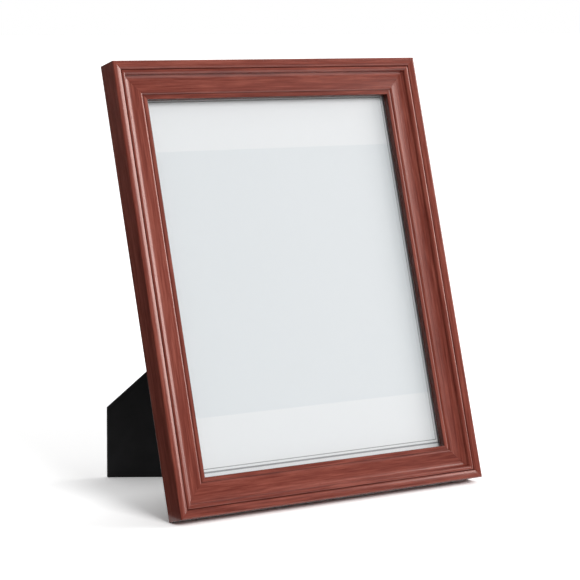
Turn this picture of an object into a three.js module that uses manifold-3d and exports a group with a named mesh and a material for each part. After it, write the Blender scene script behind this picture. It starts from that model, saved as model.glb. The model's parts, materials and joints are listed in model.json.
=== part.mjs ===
// A wooden picture frame for a 10 x 8 inch print, standing in portrait on its folding back strut.
// Millimetres, +Z up. The front faces -Y and leans back, and the strut's foot stands behind it at +Y.
// The origin lies on the table, under the middle of the whole object.

import * as THREE from 'three';
import { mergeVertices } from 'three/addons/utils/BufferGeometryUtils.js';
import Module from 'manifold-3d';

const wasm = await Module();
wasm.setup();

// Driving dimensions: the paper and what lies with it in the rebate
const PRINT_W = 203.2;
const PRINT_H = 254;
const PRINT_T = 0.3;
const GLASS_T = 2;
const BOARD_T = 3;
const EDGE_CLEARANCE = 0.8; // glass, paper and board to the rebate's wall, on each side
const SEAT_GAP = 0.3; // between pieces that lie face to face

// Driving dimensions: the rails' moulding, measured from the outer edge and up from the back
const RAIL_W = 24.5; // outer edge to sight edge
const RAIL_T = 17; // back to the outer bead's crest
const EDGE_R = 2; // round of the outer edge, up to the outer bead's crest
const OUTER_BEAD_RUN = 4.8; // the outer bead's inner side: a quarter oval that the groove cuts short
const OUTER_BEAD_FALL = 2.8;
const GROOVE_INSET = 5.3; // outer side of the groove between the beads
const GROOVE_W = 0.9;
const GROOVE_DEPTH = 1.9; // below the outer bead's crest
const INNER_BEAD_DROP = 1.65; // inner bead's crest below the outer bead's
const INNER_BEAD_RUN = 5.6; // the inner bead: a quarter oval down to the scoop
const INNER_BEAD_FALL = 3.95;
const SCOOP_SAG = 0.5; // how far the scoop's curve is drawn down below its outer end
const LIP_W = 4;
const LIP_DROP = 5.1; // lip's crest below the outer bead's
const LIP_SHOULDER = 0.9; // width of the lip's small round shoulder beside the scoop
const LIP_RISE = 0.8; // lip's crest above the scoop's inner end
const LIP_WALL = 4.1; // straight sight wall between the glass and the lip's rounding
const LIP_OVERLAP = 5.1; // how far the lip covers the paper's edge
const MITRE_GAP = 0.3;

// Driving dimensions: the V-shaped nails across each mitre
const NAILS_PER_CORNER = 2;
const NAIL_LEG = 4.5;
const NAIL_T = 0.6;
const NAIL_DEPTH = 8;
const NAIL_SINK = 0.2; // below the rails' back
const NAIL_CLEARANCE = 0.3;

// Driving dimensions: the turn buttons that hold the board, and their screws
const BUTTON_T = 1;
const BUTTON_R = 4.5; // round end about the screw
const BUTTON_TIP_R = 3.2;
const BUTTON_BITE = 6.6; // over the board's edge
const BUTTON_SETBACK = 5.4; // screw to the rebate's wall
const SIDE_BUTTON_SPACING = 110;
const SCREW_R = 1.4;
const SCREW_LENGTH = 8; // in the wood
const SCREW_POINT = 2.5;
const SCREW_HEAD_R = 3;
const SCREW_HEAD_H = 1.8;
const SCREW_RIM = 0.6; // straight rim under the head's dome
const SCREW_SLOT_W = 0.8;
const SCREW_SLOT_DEPTH = 0.8;
const SCREW_CLEARANCE = 0.3;

// Driving dimensions: the strut and its hinge, which runs at 45 degrees through the board's middle
const OPEN_ANGLE = THREE.MathUtils.degToRad(45);
const LEG_W = 75;
const LEG_T = 2.5;
const LEG_SEAT = 0.5; // folded leg to the frame's back
const LEG_END_CLEARANCE = 0.8; // leg's upper end to the knuckles
const HINGE_W = 40;
const LEAF_REACH = 16; // hinge axis to a leaf's far edge
const LEAF_T = 0.8;
const KNUCKLES = 5;
const HINGE_CLEARANCE = 0.3;
const LUG_REACH = 7; // hinge axis to the end of a stop lug
const LUG_T = 0.8;
const PIN_HEAD_H = 0.6;
const PIN_HEAD_RIM = 0.5; // pin's head beyond its shank
const RIVET_R = 1.2;
const RIVET_HEAD_R = 2.2;
const RIVET_HEAD_H = 0.9;
const RIVET_MARGIN = 4.5; // rivet's centre to the leaf's far edge
const RIVET_SPACING = 24;
const RIVET_CLEARANCE = 0.3;

// Smoothness of round stretches
const MOULDING_STEPS = 8;
const ROUND_STEPS = 12;
const PLATE_STEPS = 6;
const DOME_STEPS = 3;

// What follows from the driving dimensions
const SIGHT_W = PRINT_W - 2 * LIP_OVERLAP;
const SIGHT_H = PRINT_H - 2 * LIP_OVERLAP;
const OUTER_W = SIGHT_W + 2 * RAIL_W;
const OUTER_H = SIGHT_H + 2 * RAIL_W;
const REBATE_INSET = RAIL_W - LIP_OVERLAP - EDGE_CLEARANCE;
const REBATE_DEPTH = BOARD_T + PRINT_T + GLASS_T + 3 * SEAT_GAP;
const DIAGONAL = Math.SQRT1_2;
const LEAN = Math.atan(Math.tan(OPEN_ANGLE / 2) * DIAGONAL); // sets the leg's foot edge flat on the table
const KNUCKLE_R = (LEG_SEAT + LEG_T + LEAF_T) / 2;
const KNUCKLE_BORE = KNUCKLE_R - LEAF_T;
const PIN_R = KNUCKLE_BORE - HINGE_CLEARANCE;
const HINGE_DEPTH = SEAT_GAP + KNUCKLE_R;
const LEG_REACH = (OUTER_W + OUTER_H) / 2 * DIAGONAL; // hinge axis to the frame's lower corner
const LEG_OFFSET = (OUTER_W - OUTER_H) / 2 * DIAGONAL; // leg's middle from the board's, along the hinge

// Finishes
function finish(color, roughness, metalness) {
  return new THREE.MeshStandardMaterial({ color, roughness, metalness });
}
const stainedWood = () => finish(0x8c4a3c, 0.35, 0);
const glazing = () => finish(0xe8eeee, 0.05, 0);
const paper = () => finish(0xebebed, 0.8, 0);
const blackBoard = () => finish(0x171618, 0.85, 0);
const zincSteel = () => finish(0xb4b6b8, 0.35, 1);
const brassPlate = () => finish(0xc2a056, 0.35, 1);

function mesh(name, geometry, material) {
  const piece = new THREE.Mesh(geometry, material);
  piece.name = name;
  return piece;
}

// A closed solid that can be cut and joined, from a geometry whose shared points are merged.
function solid(geometry) {
  const bare = geometry.clone();
  bare.deleteAttribute('normal');
  bare.deleteAttribute('uv');
  const merged = mergeVertices(bare);
  const index = merged.index.array;
  const corners = [];
  for (let i = 0; i < index.length; i += 3) {
    const [a, b, c] = index.slice(i, i + 3);
    if (a !== b && b !== c && c !== a) {
      corners.push(a, b, c);
    }
  }
  return new wasm.Manifold(new wasm.Mesh({
    numProp: 3,
    vertProperties: new Float32Array(merged.attributes.position.array),
    triVerts: new Uint32Array(corners),
  }));
}

function geometryOf(body) {
  const { vertProperties, triVerts } = body.getMesh();
  const geometry = new THREE.BufferGeometry();
  geometry.setAttribute('position', new THREE.BufferAttribute(vertProperties, 3));
  geometry.setIndex(new THREE.BufferAttribute(triVerts, 1));
  geometry.computeVertexNormals();
  return geometry;
}

function extrude(shape, depth, curveSegments = PLATE_STEPS) {
  return new THREE.ExtrudeGeometry(shape, { depth, curveSegments, bevelEnabled: false });
}

function circle(x, y, radius) {
  return new THREE.Path().absarc(x, y, radius, 0, 2 * Math.PI, true);
}

// A round-headed fastener about +Z: its shank ends at -length, and its head stands on z = 0.
function fastener({ shankR, length, point, headR, headH, rim }) {
  const outline = new THREE.Path();
  outline.moveTo(0, -length);
  outline.lineTo(shankR, point - length);
  outline.lineTo(shankR, 0);
  outline.lineTo(headR, 0);
  outline.lineTo(headR, rim);
  outline.absellipse(0, rim, headR, headH - rim, 0, Math.PI / 2, false);
  const points = outline.getPoints(DOME_STEPS);
  points[points.length - 1].x = 0;
  return new THREE.LatheGeometry(points, ROUND_STEPS).rotateX(Math.PI / 2);
}

// The moulding's section: x is the inset from the outer edge, y the height above the back.
function mouldingSection() {
  const outerEnd = Math.acos((GROOVE_INSET - EDGE_R) / OUTER_BEAD_RUN);
  const grooveLow = GROOVE_INSET + GROOVE_W / 2;
  const innerStart = GROOVE_INSET + GROOVE_W;
  const innerCrest = RAIL_T - INNER_BEAD_DROP;
  const scoopStart = innerStart + INNER_BEAD_RUN;
  const scoopTop = innerCrest - INNER_BEAD_FALL;
  const lipStart = RAIL_W - LIP_W;
  const lipCrest = RAIL_T - LIP_DROP;
  const lipFoot = lipCrest - LIP_RISE;
  const sightTop = REBATE_DEPTH + LIP_WALL;
  const crestInset = lipStart + LIP_SHOULDER;

  const section = new THREE.Shape();
  section.moveTo(0, 0);
  section.lineTo(0, RAIL_T - EDGE_R);
  section.absarc(EDGE_R, RAIL_T - EDGE_R, EDGE_R, Math.PI, Math.PI / 2, true);
  const outerSide = [OUTER_BEAD_RUN, OUTER_BEAD_FALL];
  section.absellipse(EDGE_R, RAIL_T - OUTER_BEAD_FALL, ...outerSide, Math.PI / 2, outerEnd, true);
  section.lineTo(grooveLow, RAIL_T - GROOVE_DEPTH);
  section.lineTo(innerStart, innerCrest);
  section.absellipse(innerStart, scoopTop, INNER_BEAD_RUN, INNER_BEAD_FALL, Math.PI / 2, 0, true);
  section.quadraticCurveTo((scoopStart + lipStart) / 2, scoopTop - SCOOP_SAG, lipStart, lipFoot);
  section.absellipse(crestInset, lipFoot, LIP_SHOULDER, LIP_RISE, Math.PI, Math.PI / 2, true);
  section.absellipse(crestInset, sightTop, RAIL_W - crestInset, lipCrest - sightTop, Math.PI / 2, 0, true);
  section.lineTo(RAIL_W, REBATE_DEPTH);
  section.lineTo(REBATE_INSET, REBATE_DEPTH);
  section.lineTo(REBATE_INSET, 0);
  return section;
}

// The frame's four sides, in turn round the front. Each has its own axes, from its first corner:
// x along the rail, y in from the outer edge, z from the back towards the front.
const SIDES = [
  { name: 'bottom', start: 'bottom_left', length: OUTER_W, at: [-1, 0], buttons: [''] },
  { name: 'right', start: 'bottom_right', length: OUTER_H, at: [1, 0], buttons: ['_lower', '_upper'] },
  { name: 'top', start: 'top_right', length: OUTER_W, at: [1, 1], buttons: [''] },
  { name: 'left', start: 'top_left', length: OUTER_H, at: [-1, 1], buttons: ['_upper', '_lower'] },
];

const NAIL_INSETS = [];
for (let i = 1; i <= NAILS_PER_CORNER; i += 1) {
  NAIL_INSETS.push(REBATE_INSET * i / (NAILS_PER_CORNER + 1));
}

// A V-shaped nail, or its slot: two legs that start on the mitre line and lie along the two rails,
// from one height above the rails' back to another.
function nailShape(inset, clearance, from, to) {
  const half = NAIL_T / 2 + clearance;
  const end = NAIL_LEG + clearance;
  const outline = new THREE.Shape();
  outline.moveTo(-half, -half);
  outline.lineTo(end, -half);
  outline.lineTo(end, half);
  outline.lineTo(half, half);
  outline.lineTo(half, end);
  outline.lineTo(-half, end);
  return extrude(outline, to - from).translate(inset, inset, from);
}

const NAIL_TOP = NAIL_SINK + NAIL_DEPTH;
const cornerNail = (inset) => nailShape(inset, 0, NAIL_SINK, NAIL_TOP);
const nailSlot = (inset) => nailShape(inset, NAIL_CLEARANCE, -NAIL_CLEARANCE, NAIL_TOP + NAIL_CLEARANCE);

function buttonPlaces(side) {
  const middle = (side.buttons.length - 1) / 2;
  return side.buttons.map((suffix, i) => ({
    name: side.name + suffix,
    along: side.length / 2 + (i - middle) * SIDE_BUTTON_SPACING,
    inset: REBATE_INSET - BUTTON_SETBACK,
  }));
}

// A mitred rail. Each point of the section starts and ends as far along as its inset, which cuts
// both ends at 45 degrees; the nails' slots and the screws' holes are then cut from the back.
function rail(side) {
  const blank = extrude(mouldingSection(), 1, MOULDING_STEPS);
  const position = blank.attributes.position;
  const setBack = MITRE_GAP / 2 / DIAGONAL;
  for (let i = 0; i < position.count; i += 1) {
    const cut = position.getX(i) + setBack;
    position.setZ(i, position.getZ(i) === 0 ? cut : side.length - cut);
  }
  const axes = [new THREE.Vector3(0, 1, 0), new THREE.Vector3(0, 0, 1), new THREE.Vector3(1, 0, 0)];
  blank.applyMatrix4(new THREE.Matrix4().makeBasis(...axes));
  let body = solid(blank);
  for (const inset of NAIL_INSETS) {
    body = body.subtract(solid(nailSlot(inset)));
    body = body.subtract(solid(nailSlot(inset).rotateZ(Math.PI / 2).translate(side.length, 0, 0)));
  }
  const holeR = SCREW_R + SCREW_CLEARANCE;
  const holeDepth = SCREW_LENGTH + 2 * SCREW_CLEARANCE;
  for (const place of buttonPlaces(side)) {
    const hole = new THREE.CylinderGeometry(holeR, holeR, holeDepth, ROUND_STEPS).rotateX(Math.PI / 2);
    hole.translate(place.along, place.inset, holeDepth / 2 - SCREW_CLEARANCE);
    body = body.subtract(solid(hole));
  }
  return mesh(`rail_${side.name}`, geometryOf(body), stainedWood());
}

// A turn button lies on the rail's back, with its round end about the screw and its tip over the board.
function turnButton(place) {
  const tip = BUTTON_SETBACK + EDGE_CLEARANCE + BUTTON_BITE - BUTTON_TIP_R;
  const taper = Math.asin((BUTTON_R - BUTTON_TIP_R) / tip);
  const outline = new THREE.Shape();
  outline.absarc(0, 0, BUTTON_R, Math.PI - taper, 2 * Math.PI + taper, false);
  outline.absarc(0, tip, BUTTON_TIP_R, taper, Math.PI - taper, false);
  outline.holes.push(circle(0, 0, SCREW_R + SCREW_CLEARANCE));
  const button = mesh(`turn_button_${place.name}`, extrude(outline, BUTTON_T), brassPlate());
  button.position.set(place.along, place.inset, -SEAT_GAP - BUTTON_T);
  return button;
}

// Its screw: a slotted round head behind the button, and a pointed shank through it into the rail.
function turnScrew(place) {
  const headSeat = BUTTON_T + 2 * SEAT_GAP;
  const screw = fastener({
    shankR: SCREW_R,
    length: SCREW_LENGTH + headSeat,
    point: SCREW_POINT,
    headR: SCREW_HEAD_R,
    headH: SCREW_HEAD_H,
    rim: SCREW_RIM,
  });
  const slot = new THREE.BoxGeometry(3 * SCREW_HEAD_R, SCREW_SLOT_W, 2 * SCREW_SLOT_DEPTH);
  slot.translate(0, 0, SCREW_HEAD_H);
  const body = solid(screw).subtract(solid(slot));
  const piece = mesh(`turn_screw_${place.name}`, geometryOf(body), zincSteel());
  piece.rotation.x = Math.PI;
  piece.position.set(place.along, place.inset, -headSeat);
  return piece;
}

function sideGroup(side, turn) {
  const group = new THREE.Group();
  const front = new THREE.Vector3(0, -1, 0);
  const along = new THREE.Vector3(1, 0, 0).applyAxisAngle(front, turn * Math.PI / 2);
  const inward = front.clone().cross(along);
  group.quaternion.setFromRotationMatrix(new THREE.Matrix4().makeBasis(along, inward, front));
  group.position.set(side.at[0] * OUTER_W / 2, 0, side.at[1] * OUTER_H);
  group.add(rail(side));
  NAIL_INSETS.forEach((inset, i) => {
    group.add(mesh(`corner_nail_${side.start}_${i + 1}`, cornerNail(inset), zincSteel()));
  });
  for (const place of buttonPlaces(side)) {
    group.add(turnButton(place));
    group.add(turnScrew(place));
  }
  return group;
}

// A sheet that lies in the rebate, centred, with its back at the given height above the rails' back.
function sheet(name, thickness, height, material, holes = []) {
  const outline = new THREE.Shape();
  outline.moveTo(-PRINT_W / 2, -PRINT_H / 2);
  outline.lineTo(PRINT_W / 2, -PRINT_H / 2);
  outline.lineTo(PRINT_W / 2, PRINT_H / 2);
  outline.lineTo(-PRINT_W / 2, PRINT_H / 2);
  outline.holes.push(...holes);
  const piece = mesh(name, extrude(outline, thickness), material);
  piece.rotation.x = Math.PI / 2;
  piece.position.set(0, -height, OUTER_H / 2);
  return piece;
}

// The hinge's own axes: x from the hinge down to the leg's point, y along the pin, z backwards.
const DOWN_LEG = new THREE.Vector3(-DIAGONAL, 0, -DIAGONAL);
const ALONG_PIN = new THREE.Vector3(-DIAGONAL, 0, DIAGONAL);
const BACKWARDS = new THREE.Vector3(0, 1, 0);
const RIVET_PLACES = [['upper', RIVET_SPACING / 2], ['lower', -RIVET_SPACING / 2]];
const RIVET_LINE = LEAF_REACH - RIVET_MARGIN;
const RIVET_HOLE_R = RIVET_R + RIVET_CLEARANCE;

// Rivet holes through the board, in the board's own plane, where the hinge's board leaf lies.
function boardHoles() {
  return RIVET_PLACES.map(([, y]) => {
    const place = DOWN_LEG.clone().multiplyScalar(-RIVET_LINE);
    place.addScaledVector(ALONG_PIN, y + LEG_OFFSET);
    return circle(place.x, place.z, RIVET_HOLE_R);
  });
}

// The leg, drawn folded: a strip that ends in a right-angled point. Both edges of the point are
// bevelled by half the opening angle, so that either one stands flat when the leg is open.
function strutLeg() {
  const back = KNUCKLE_R - LEAF_T - SEAT_GAP;
  const inner = back - LEG_T;
  const bevel = Math.tan(OPEN_ANGLE / 2);
  const end = KNUCKLE_R + LEG_END_CLEARANCE;
  const point = LEG_REACH - (HINGE_DEPTH - inner) * bevel;
  const outline = new THREE.Shape();
  outline.moveTo(end, -LEG_W / 2);
  outline.lineTo(point - LEG_W / 2, -LEG_W / 2);
  outline.lineTo(point, 0);
  outline.lineTo(point - LEG_W / 2, LEG_W / 2);
  outline.lineTo(end, LEG_W / 2);
  for (const [, y] of RIVET_PLACES) {
    outline.holes.push(circle(RIVET_LINE, y, RIVET_HOLE_R));
  }
  const strip = extrude(outline, LEG_T);
  const position = strip.attributes.position;
  for (let i = 0; i < position.count; i += 1) {
    const x = position.getX(i);
    position.setX(i, x > LEAF_REACH ? x + position.getZ(i) * bevel : x);
  }
  return mesh('strut_leg', strip.translate(0, 0, inner), blackBoard());
}

const KNUCKLE_PITCH = HINGE_W / KNUCKLES;
const KNUCKLE_LENGTH = KNUCKLE_PITCH - HINGE_CLEARANCE;
const PLATE_EDGE = KNUCKLE_R + HINGE_CLEARANCE;
const knucklePlace = (i) => (i + 1 / 2) * KNUCKLE_PITCH - HINGE_W / 2; // its middle, along the pin

// One rolled knuckle of the board's leaf, with the strip that joins it to the leaf's plate.
function knuckle(y) {
  const join = PLATE_EDGE + LEAF_T;
  const rollEnd = Math.PI + Math.asin(KNUCKLE_BORE / KNUCKLE_R);
  const outline = new THREE.Shape();
  outline.moveTo(-join, -KNUCKLE_R);
  outline.lineTo(0, -KNUCKLE_R);
  outline.absarc(0, 0, KNUCKLE_R, -Math.PI / 2, rollEnd, false);
  outline.lineTo(-join, -KNUCKLE_BORE);
  outline.holes.push(circle(0, 0, KNUCKLE_BORE));
  return extrude(outline, KNUCKLE_LENGTH).rotateX(Math.PI / 2).translate(0, y + KNUCKLE_LENGTH / 2, 0);
}

// A leaf: its riveted plate on the side of -x, joined to every second knuckle from the given one.
function hingeLeaf(firstKnuckle) {
  const outline = new THREE.Shape();
  outline.moveTo(-LEAF_REACH, -HINGE_W / 2);
  outline.lineTo(-PLATE_EDGE, -HINGE_W / 2);
  outline.lineTo(-PLATE_EDGE, HINGE_W / 2);
  outline.lineTo(-LEAF_REACH, HINGE_W / 2);
  for (const [, y] of RIVET_PLACES) {
    outline.holes.push(circle(-RIVET_LINE, y, RIVET_HOLE_R));
  }
  let body = solid(extrude(outline, LEAF_T).translate(0, 0, -KNUCKLE_R));
  for (let i = firstKnuckle; i < KNUCKLES; i += 2) {
    body = body.add(solid(knuckle(knucklePlace(i))));
  }
  return body;
}

// The strut's leaf is the same leaf turned over. Each of its knuckles carries a stop lug, which
// lies on the board's leaf when the leg is fully open.
function strutLeaf() {
  let body = solid(geometryOf(hingeLeaf(1)).rotateY(Math.PI));
  const lugStart = (KNUCKLE_BORE + KNUCKLE_R) / 2;
  for (let i = 1; i < KNUCKLES; i += 2) {
    const lug = new THREE.BoxGeometry(LUG_REACH - lugStart, KNUCKLE_LENGTH, LUG_T);
    lug.translate(-(LUG_REACH + lugStart) / 2, knucklePlace(i), SEAT_GAP + LUG_T / 2 - KNUCKLE_BORE);
    body = body.add(solid(lug.rotateY(OPEN_ANGLE)));
  }
  return mesh('hinge_strut_leaf', geometryOf(body), brassPlate());
}

function hingePin() {
  const half = HINGE_W / 2 + HINGE_CLEARANCE;
  const headR = PIN_R + PIN_HEAD_RIM;
  const outline = new THREE.Path();
  outline.moveTo(0, -half - PIN_HEAD_H);
  outline.lineTo(headR, -half - PIN_HEAD_H);
  outline.lineTo(headR, -half);
  outline.lineTo(PIN_R, -half);
  outline.lineTo(PIN_R, half);
  outline.lineTo(headR, half);
  outline.lineTo(headR, half + PIN_HEAD_H);
  outline.lineTo(0, half + PIN_HEAD_H);
  return mesh('hinge_pin', new THREE.LatheGeometry(outline.getPoints(), ROUND_STEPS), zincSteel());
}

// A rivet whose head stands just off a leaf, and whose shank goes through it and the board or leg.
function rivet(name, x, y, seat, length) {
  const shape = { shankR: RIVET_R, length, point: 0, headR: RIVET_HEAD_R, headH: RIVET_HEAD_H, rim: 0 };
  const piece = mesh(name, fastener(shape), zincSteel());
  piece.position.set(x, y, seat);
  return piece;
}

function strutHinge() {
  const group = new THREE.Group();
  group.quaternion.setFromRotationMatrix(new THREE.Matrix4().makeBasis(DOWN_LEG, ALONG_PIN, BACKWARDS));
  group.position.set(0, HINGE_DEPTH, OUTER_H / 2).addScaledVector(ALONG_PIN, LEG_OFFSET);
  const swing = new THREE.Group();
  swing.rotation.y = -OPEN_ANGLE;
  swing.add(strutLeg());
  swing.add(strutLeaf());
  group.add(swing);
  group.add(mesh('hinge_board_leaf', geometryOf(hingeLeaf(0)), brassPlate()));
  group.add(hingePin());
  const throughBoard = LEAF_T + 2 * SEAT_GAP + BOARD_T - RIVET_CLEARANCE;
  const throughLeg = LEAF_T + 2 * SEAT_GAP + LEG_T - RIVET_CLEARANCE;
  for (const [place, y] of RIVET_PLACES) {
    group.add(rivet(`board_rivet_${place}`, -RIVET_LINE, y, SEAT_GAP - KNUCKLE_BORE, throughBoard));
    swing.add(rivet(`strut_rivet_${place}`, RIVET_LINE, y, KNUCKLE_R + SEAT_GAP, throughLeg));
  }
  return group;
}

// The whole frame, upright about its lower back edge, then leant back and set over the origin.
const leaning = new THREE.Group();
SIDES.forEach((side, turn) => leaning.add(sideGroup(side, turn)));
leaning.add(sheet('backing_board', BOARD_T, 0, blackBoard(), boardHoles()));
leaning.add(sheet('print_sheet', PRINT_T, BOARD_T + SEAT_GAP, paper()));
leaning.add(sheet('glass_pane', GLASS_T, BOARD_T + PRINT_T + 2 * SEAT_GAP, glazing()));
leaning.add(strutHinge());
leaning.rotation.x = -LEAN;

const pictureFrame = new THREE.Group();
pictureFrame.add(leaning);
pictureFrame.updateMatrixWorld(true);
const middle = new THREE.Box3().setFromObject(pictureFrame, true).getCenter(new THREE.Vector3());
leaning.position.y = -middle.y;

export default pictureFrame;
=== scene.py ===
import json
from math import acos, asin, atan2, cos, pi, radians, sin

import bmesh
import bpy
from mathutils import Matrix, Vector


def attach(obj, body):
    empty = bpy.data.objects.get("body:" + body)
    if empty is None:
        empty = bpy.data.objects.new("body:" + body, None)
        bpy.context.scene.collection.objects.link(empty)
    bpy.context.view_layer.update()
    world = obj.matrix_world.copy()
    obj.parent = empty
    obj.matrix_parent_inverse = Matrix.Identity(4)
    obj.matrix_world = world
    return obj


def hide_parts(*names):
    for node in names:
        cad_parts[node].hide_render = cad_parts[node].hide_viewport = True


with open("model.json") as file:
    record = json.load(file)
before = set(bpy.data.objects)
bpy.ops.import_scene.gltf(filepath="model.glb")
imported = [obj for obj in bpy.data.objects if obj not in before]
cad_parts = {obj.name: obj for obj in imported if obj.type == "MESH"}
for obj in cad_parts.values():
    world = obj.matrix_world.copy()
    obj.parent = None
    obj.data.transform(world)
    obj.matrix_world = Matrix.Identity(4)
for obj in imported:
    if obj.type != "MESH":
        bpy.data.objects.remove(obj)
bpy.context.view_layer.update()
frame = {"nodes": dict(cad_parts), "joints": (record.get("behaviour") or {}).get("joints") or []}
scene = bpy.context.scene
scene.view_settings.view_transform = "Standard"


# The set: a long lens at the photo's viewing angle over a white floor, in soft studio light.
# A broad key lamp stands in front, and a box lamp at the right draws bright lines along the beads.
# A dark flag beside the frame, which only reflections see, keeps its left side dark.

CAMERA_PLACE = (-0.8887, -1.2725, 0.3264)
CAMERA_TURN = radians(-35.382)
CAMERA_DIP = radians(7.149)
CAMERA_ROLL = radians(0.472)
CAMERA_LENS = 145.18
WHITE = (1, 1, 1, 1)
SKY_SIDE = Vector((0.45, -0.35, 0.8))  # the studio's open side, where its soft light comes from
SKY_FROM = -0.5  # towards that side, where the soft light starts to rise
SKY_TO = 0.7
SKY_DIM = 0.03
SKY_BRIGHT = 0.5
FRONT_SHEEN = 0.06  # how bright the studio behind the camera is in reflections
BACKDROP_FROM = 0.0  # along the view, where the studio gives way to the white backdrop
BACKDROP_TO = 0.7
KEY_FROM = Vector((0.02, -0.84, 0.58))
KEY_STRENGTH = 1.66
KEY_SPREAD = radians(26)
BOX_PLACE = Vector((1.28, -0.53, 0.65))
BOX_AIM = Vector((0, 0, 0.14))
BOX_W = 0.85
BOX_H = 0.8
SOFT_BOX_WATTS = 15  # the box lamp as it is reflected
SOFT_BOX_COLOUR = (1, 0.83, 0.78)
SIDE_LAMP_WATTS = 9  # and as it lights things
SIDE_LAMP_COLOUR = (1, 1, 1)
MATTE = 0.9
FLAG_PLACE = Vector((-0.5, 0.35, 0.257))
FLAG_FACES = Vector((0.57, 0, 0.82))
FLAG_W = 1.4
FLAG_H = 0.9
FLAG_COLOUR = (0.02, 0.02, 0.02, 1)
FLOOR_SIZE = 30
FLOOR_DROP = 0.0001
FLOOR_COLOUR = (0.55, 0.55, 0.55, 1)
FLOOR_WHITE = (1.4, 1.4, 1.4, 1)  # the floor's colour as it is seen, so that its lit part is white
SHADOW_LIFT_GLOW = 0.3  # painted light: how brightly the floor behind the frame glows for what is seen, lifting the frame's shadow there towards white
SHADOW_LIFT_FROM = -0.06  # backwards, where that starts
SHADOW_LIFT_TO = 0.02


def add_node(tree, kind, inputs=None, **settings):
    """A new node with its settings, and its inputs given as values or as the sockets that feed them."""
    node = tree.nodes.new(kind)
    for name, value in settings.items():
        setattr(node, name, value)
    for name, value in (inputs or {}).items():
        if isinstance(value, bpy.types.NodeSocket):
            tree.links.new(value, node.inputs[name])
        else:
            node.inputs[name].default_value = value
    return node


def calculate(tree, operation, *values):
    """The result of one sum on values or sockets."""
    return add_node(tree, "ShaderNodeMath", dict(enumerate(values)), operation=operation).outputs[0]


def seen_rays(tree):
    """1 for what is seen, straight, in a reflection or through glass, and 0 for the light on things."""
    path = add_node(tree, "ShaderNodeLightPath").outputs
    indirect = calculate(tree, "MAXIMUM", path["Is Glossy Ray"], path["Is Transmission Ray"])
    return calculate(tree, "MAXIMUM", path["Is Camera Ray"], indirect)


def toward(tree, side, low, high, least, most):
    """A value of the surroundings that goes from one to another as the direction turns towards a side."""
    direction = add_node(tree, "ShaderNodeTexCoord").outputs["Generated"]
    turned_to = add_node(tree, "ShaderNodeVectorMath", {0: direction, 1: side}, operation="DOT_PRODUCT")
    levels = {0: turned_to.outputs["Value"], 1: low, 2: high, 3: least, 4: most}
    return add_node(tree, "ShaderNodeMapRange", levels, interpolation_type="SMOOTHSTEP").outputs[0]


def mixed(tree, share, first, second, blend="MIX"):
    """One colour over another by a share."""
    inputs = {0: share, 6: first, 7: second}
    return add_node(tree, "ShaderNodeMix", inputs, data_type="RGBA", blend_type=blend).outputs[2]


def new_material(name):
    """An empty material and its tree."""
    material = bpy.data.materials.new(name)
    material.use_nodes = True
    material.node_tree.nodes.clear()
    return material, material.node_tree


def finish_material(tree, **inputs):
    """Ends a material in one Principled shader, whose inputs' names have _ for each space."""
    named = {name.replace("_", " "): value for name, value in inputs.items()}
    shader = add_node(tree, "ShaderNodeBsdfPrincipled", named)
    add_node(tree, "ShaderNodeOutputMaterial", {"Surface": shader.outputs[0]})


def add_object(name, data):
    """A new object in the scene, at the origin."""
    added = bpy.data.objects.new(name, data)
    scene.collection.objects.link(added)
    return added


camera = add_object("camera", bpy.data.cameras.new("camera"))
camera.data.lens = CAMERA_LENS
camera.matrix_world = (
    Matrix.Translation(CAMERA_PLACE)
    @ Matrix.Rotation(CAMERA_TURN, 4, "Z")
    @ Matrix.Rotation(pi / 2 - CAMERA_DIP, 4, "X")
    @ Matrix.Rotation(CAMERA_ROLL, 4, "Z")
)
scene.camera = camera

world = bpy.data.worlds.new("surroundings")
world.use_nodes = True
world.node_tree.nodes.clear()
scene.world = world
tree = world.node_tree
path = add_node(tree, "ShaderNodeLightPath").outputs
straight = calculate(tree, "MAXIMUM", path["Is Camera Ray"], path["Is Transmission Ray"])
ahead = Matrix.Rotation(CAMERA_TURN, 3, "Z") @ Vector((0, 1, 0))
studio = toward(tree, ahead, BACKDROP_FROM, BACKDROP_TO, FRONT_SHEEN, 1.0)
reflected = calculate(tree, "MULTIPLY", path["Is Glossy Ray"], studio)
sky = toward(tree, SKY_SIDE.normalized(), SKY_FROM, SKY_TO, SKY_DIM, SKY_BRIGHT)
lit = calculate(tree, "MULTIPLY", path["Is Diffuse Ray"], sky)
strength = calculate(tree, "MAXIMUM", straight, calculate(tree, "MAXIMUM", reflected, lit))
surroundings = add_node(tree, "ShaderNodeBackground", {"Color": WHITE, "Strength": strength})
add_node(tree, "ShaderNodeOutputWorld", {"Surface": surroundings.outputs[0]})

key_lamp = add_object("key_lamp", bpy.data.lights.new("key_lamp", "SUN"))
key_lamp.data.energy = KEY_STRENGTH
key_lamp.data.angle = KEY_SPREAD
key_lamp.rotation_euler = KEY_FROM.to_track_quat("Z", "Y").to_euler()
key_lamp.visible_glossy = False
key_lamp.visible_transmission = False


def box_lamp(name, watts, colour):
    """The box lamp at the right, turned to the frame."""
    lamp = add_object(name, bpy.data.lights.new(name, "AREA"))
    lamp.data.shape = "RECTANGLE"
    lamp.data.size = BOX_W
    lamp.data.size_y = BOX_H
    lamp.data.energy = watts
    lamp.data.color = colour
    lamp.location = BOX_PLACE
    lamp.rotation_euler = (BOX_PLACE - BOX_AIM).to_track_quat("Z", "Y").to_euler()
    return lamp


soft_box = box_lamp("soft_box", SOFT_BOX_WATTS, SOFT_BOX_COLOUR)
soft_box.visible_diffuse = False
side_lamp = box_lamp("side_lamp", SIDE_LAMP_WATTS, SIDE_LAMP_COLOUR)
side_lamp.visible_glossy = False
side_lamp.visible_transmission = False


def end_mesh(shape, name):
    """The new mesh that a bmesh ends in."""
    mesh = bpy.data.meshes.new(name)
    shape.to_mesh(mesh)
    shape.free()
    return mesh


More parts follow.
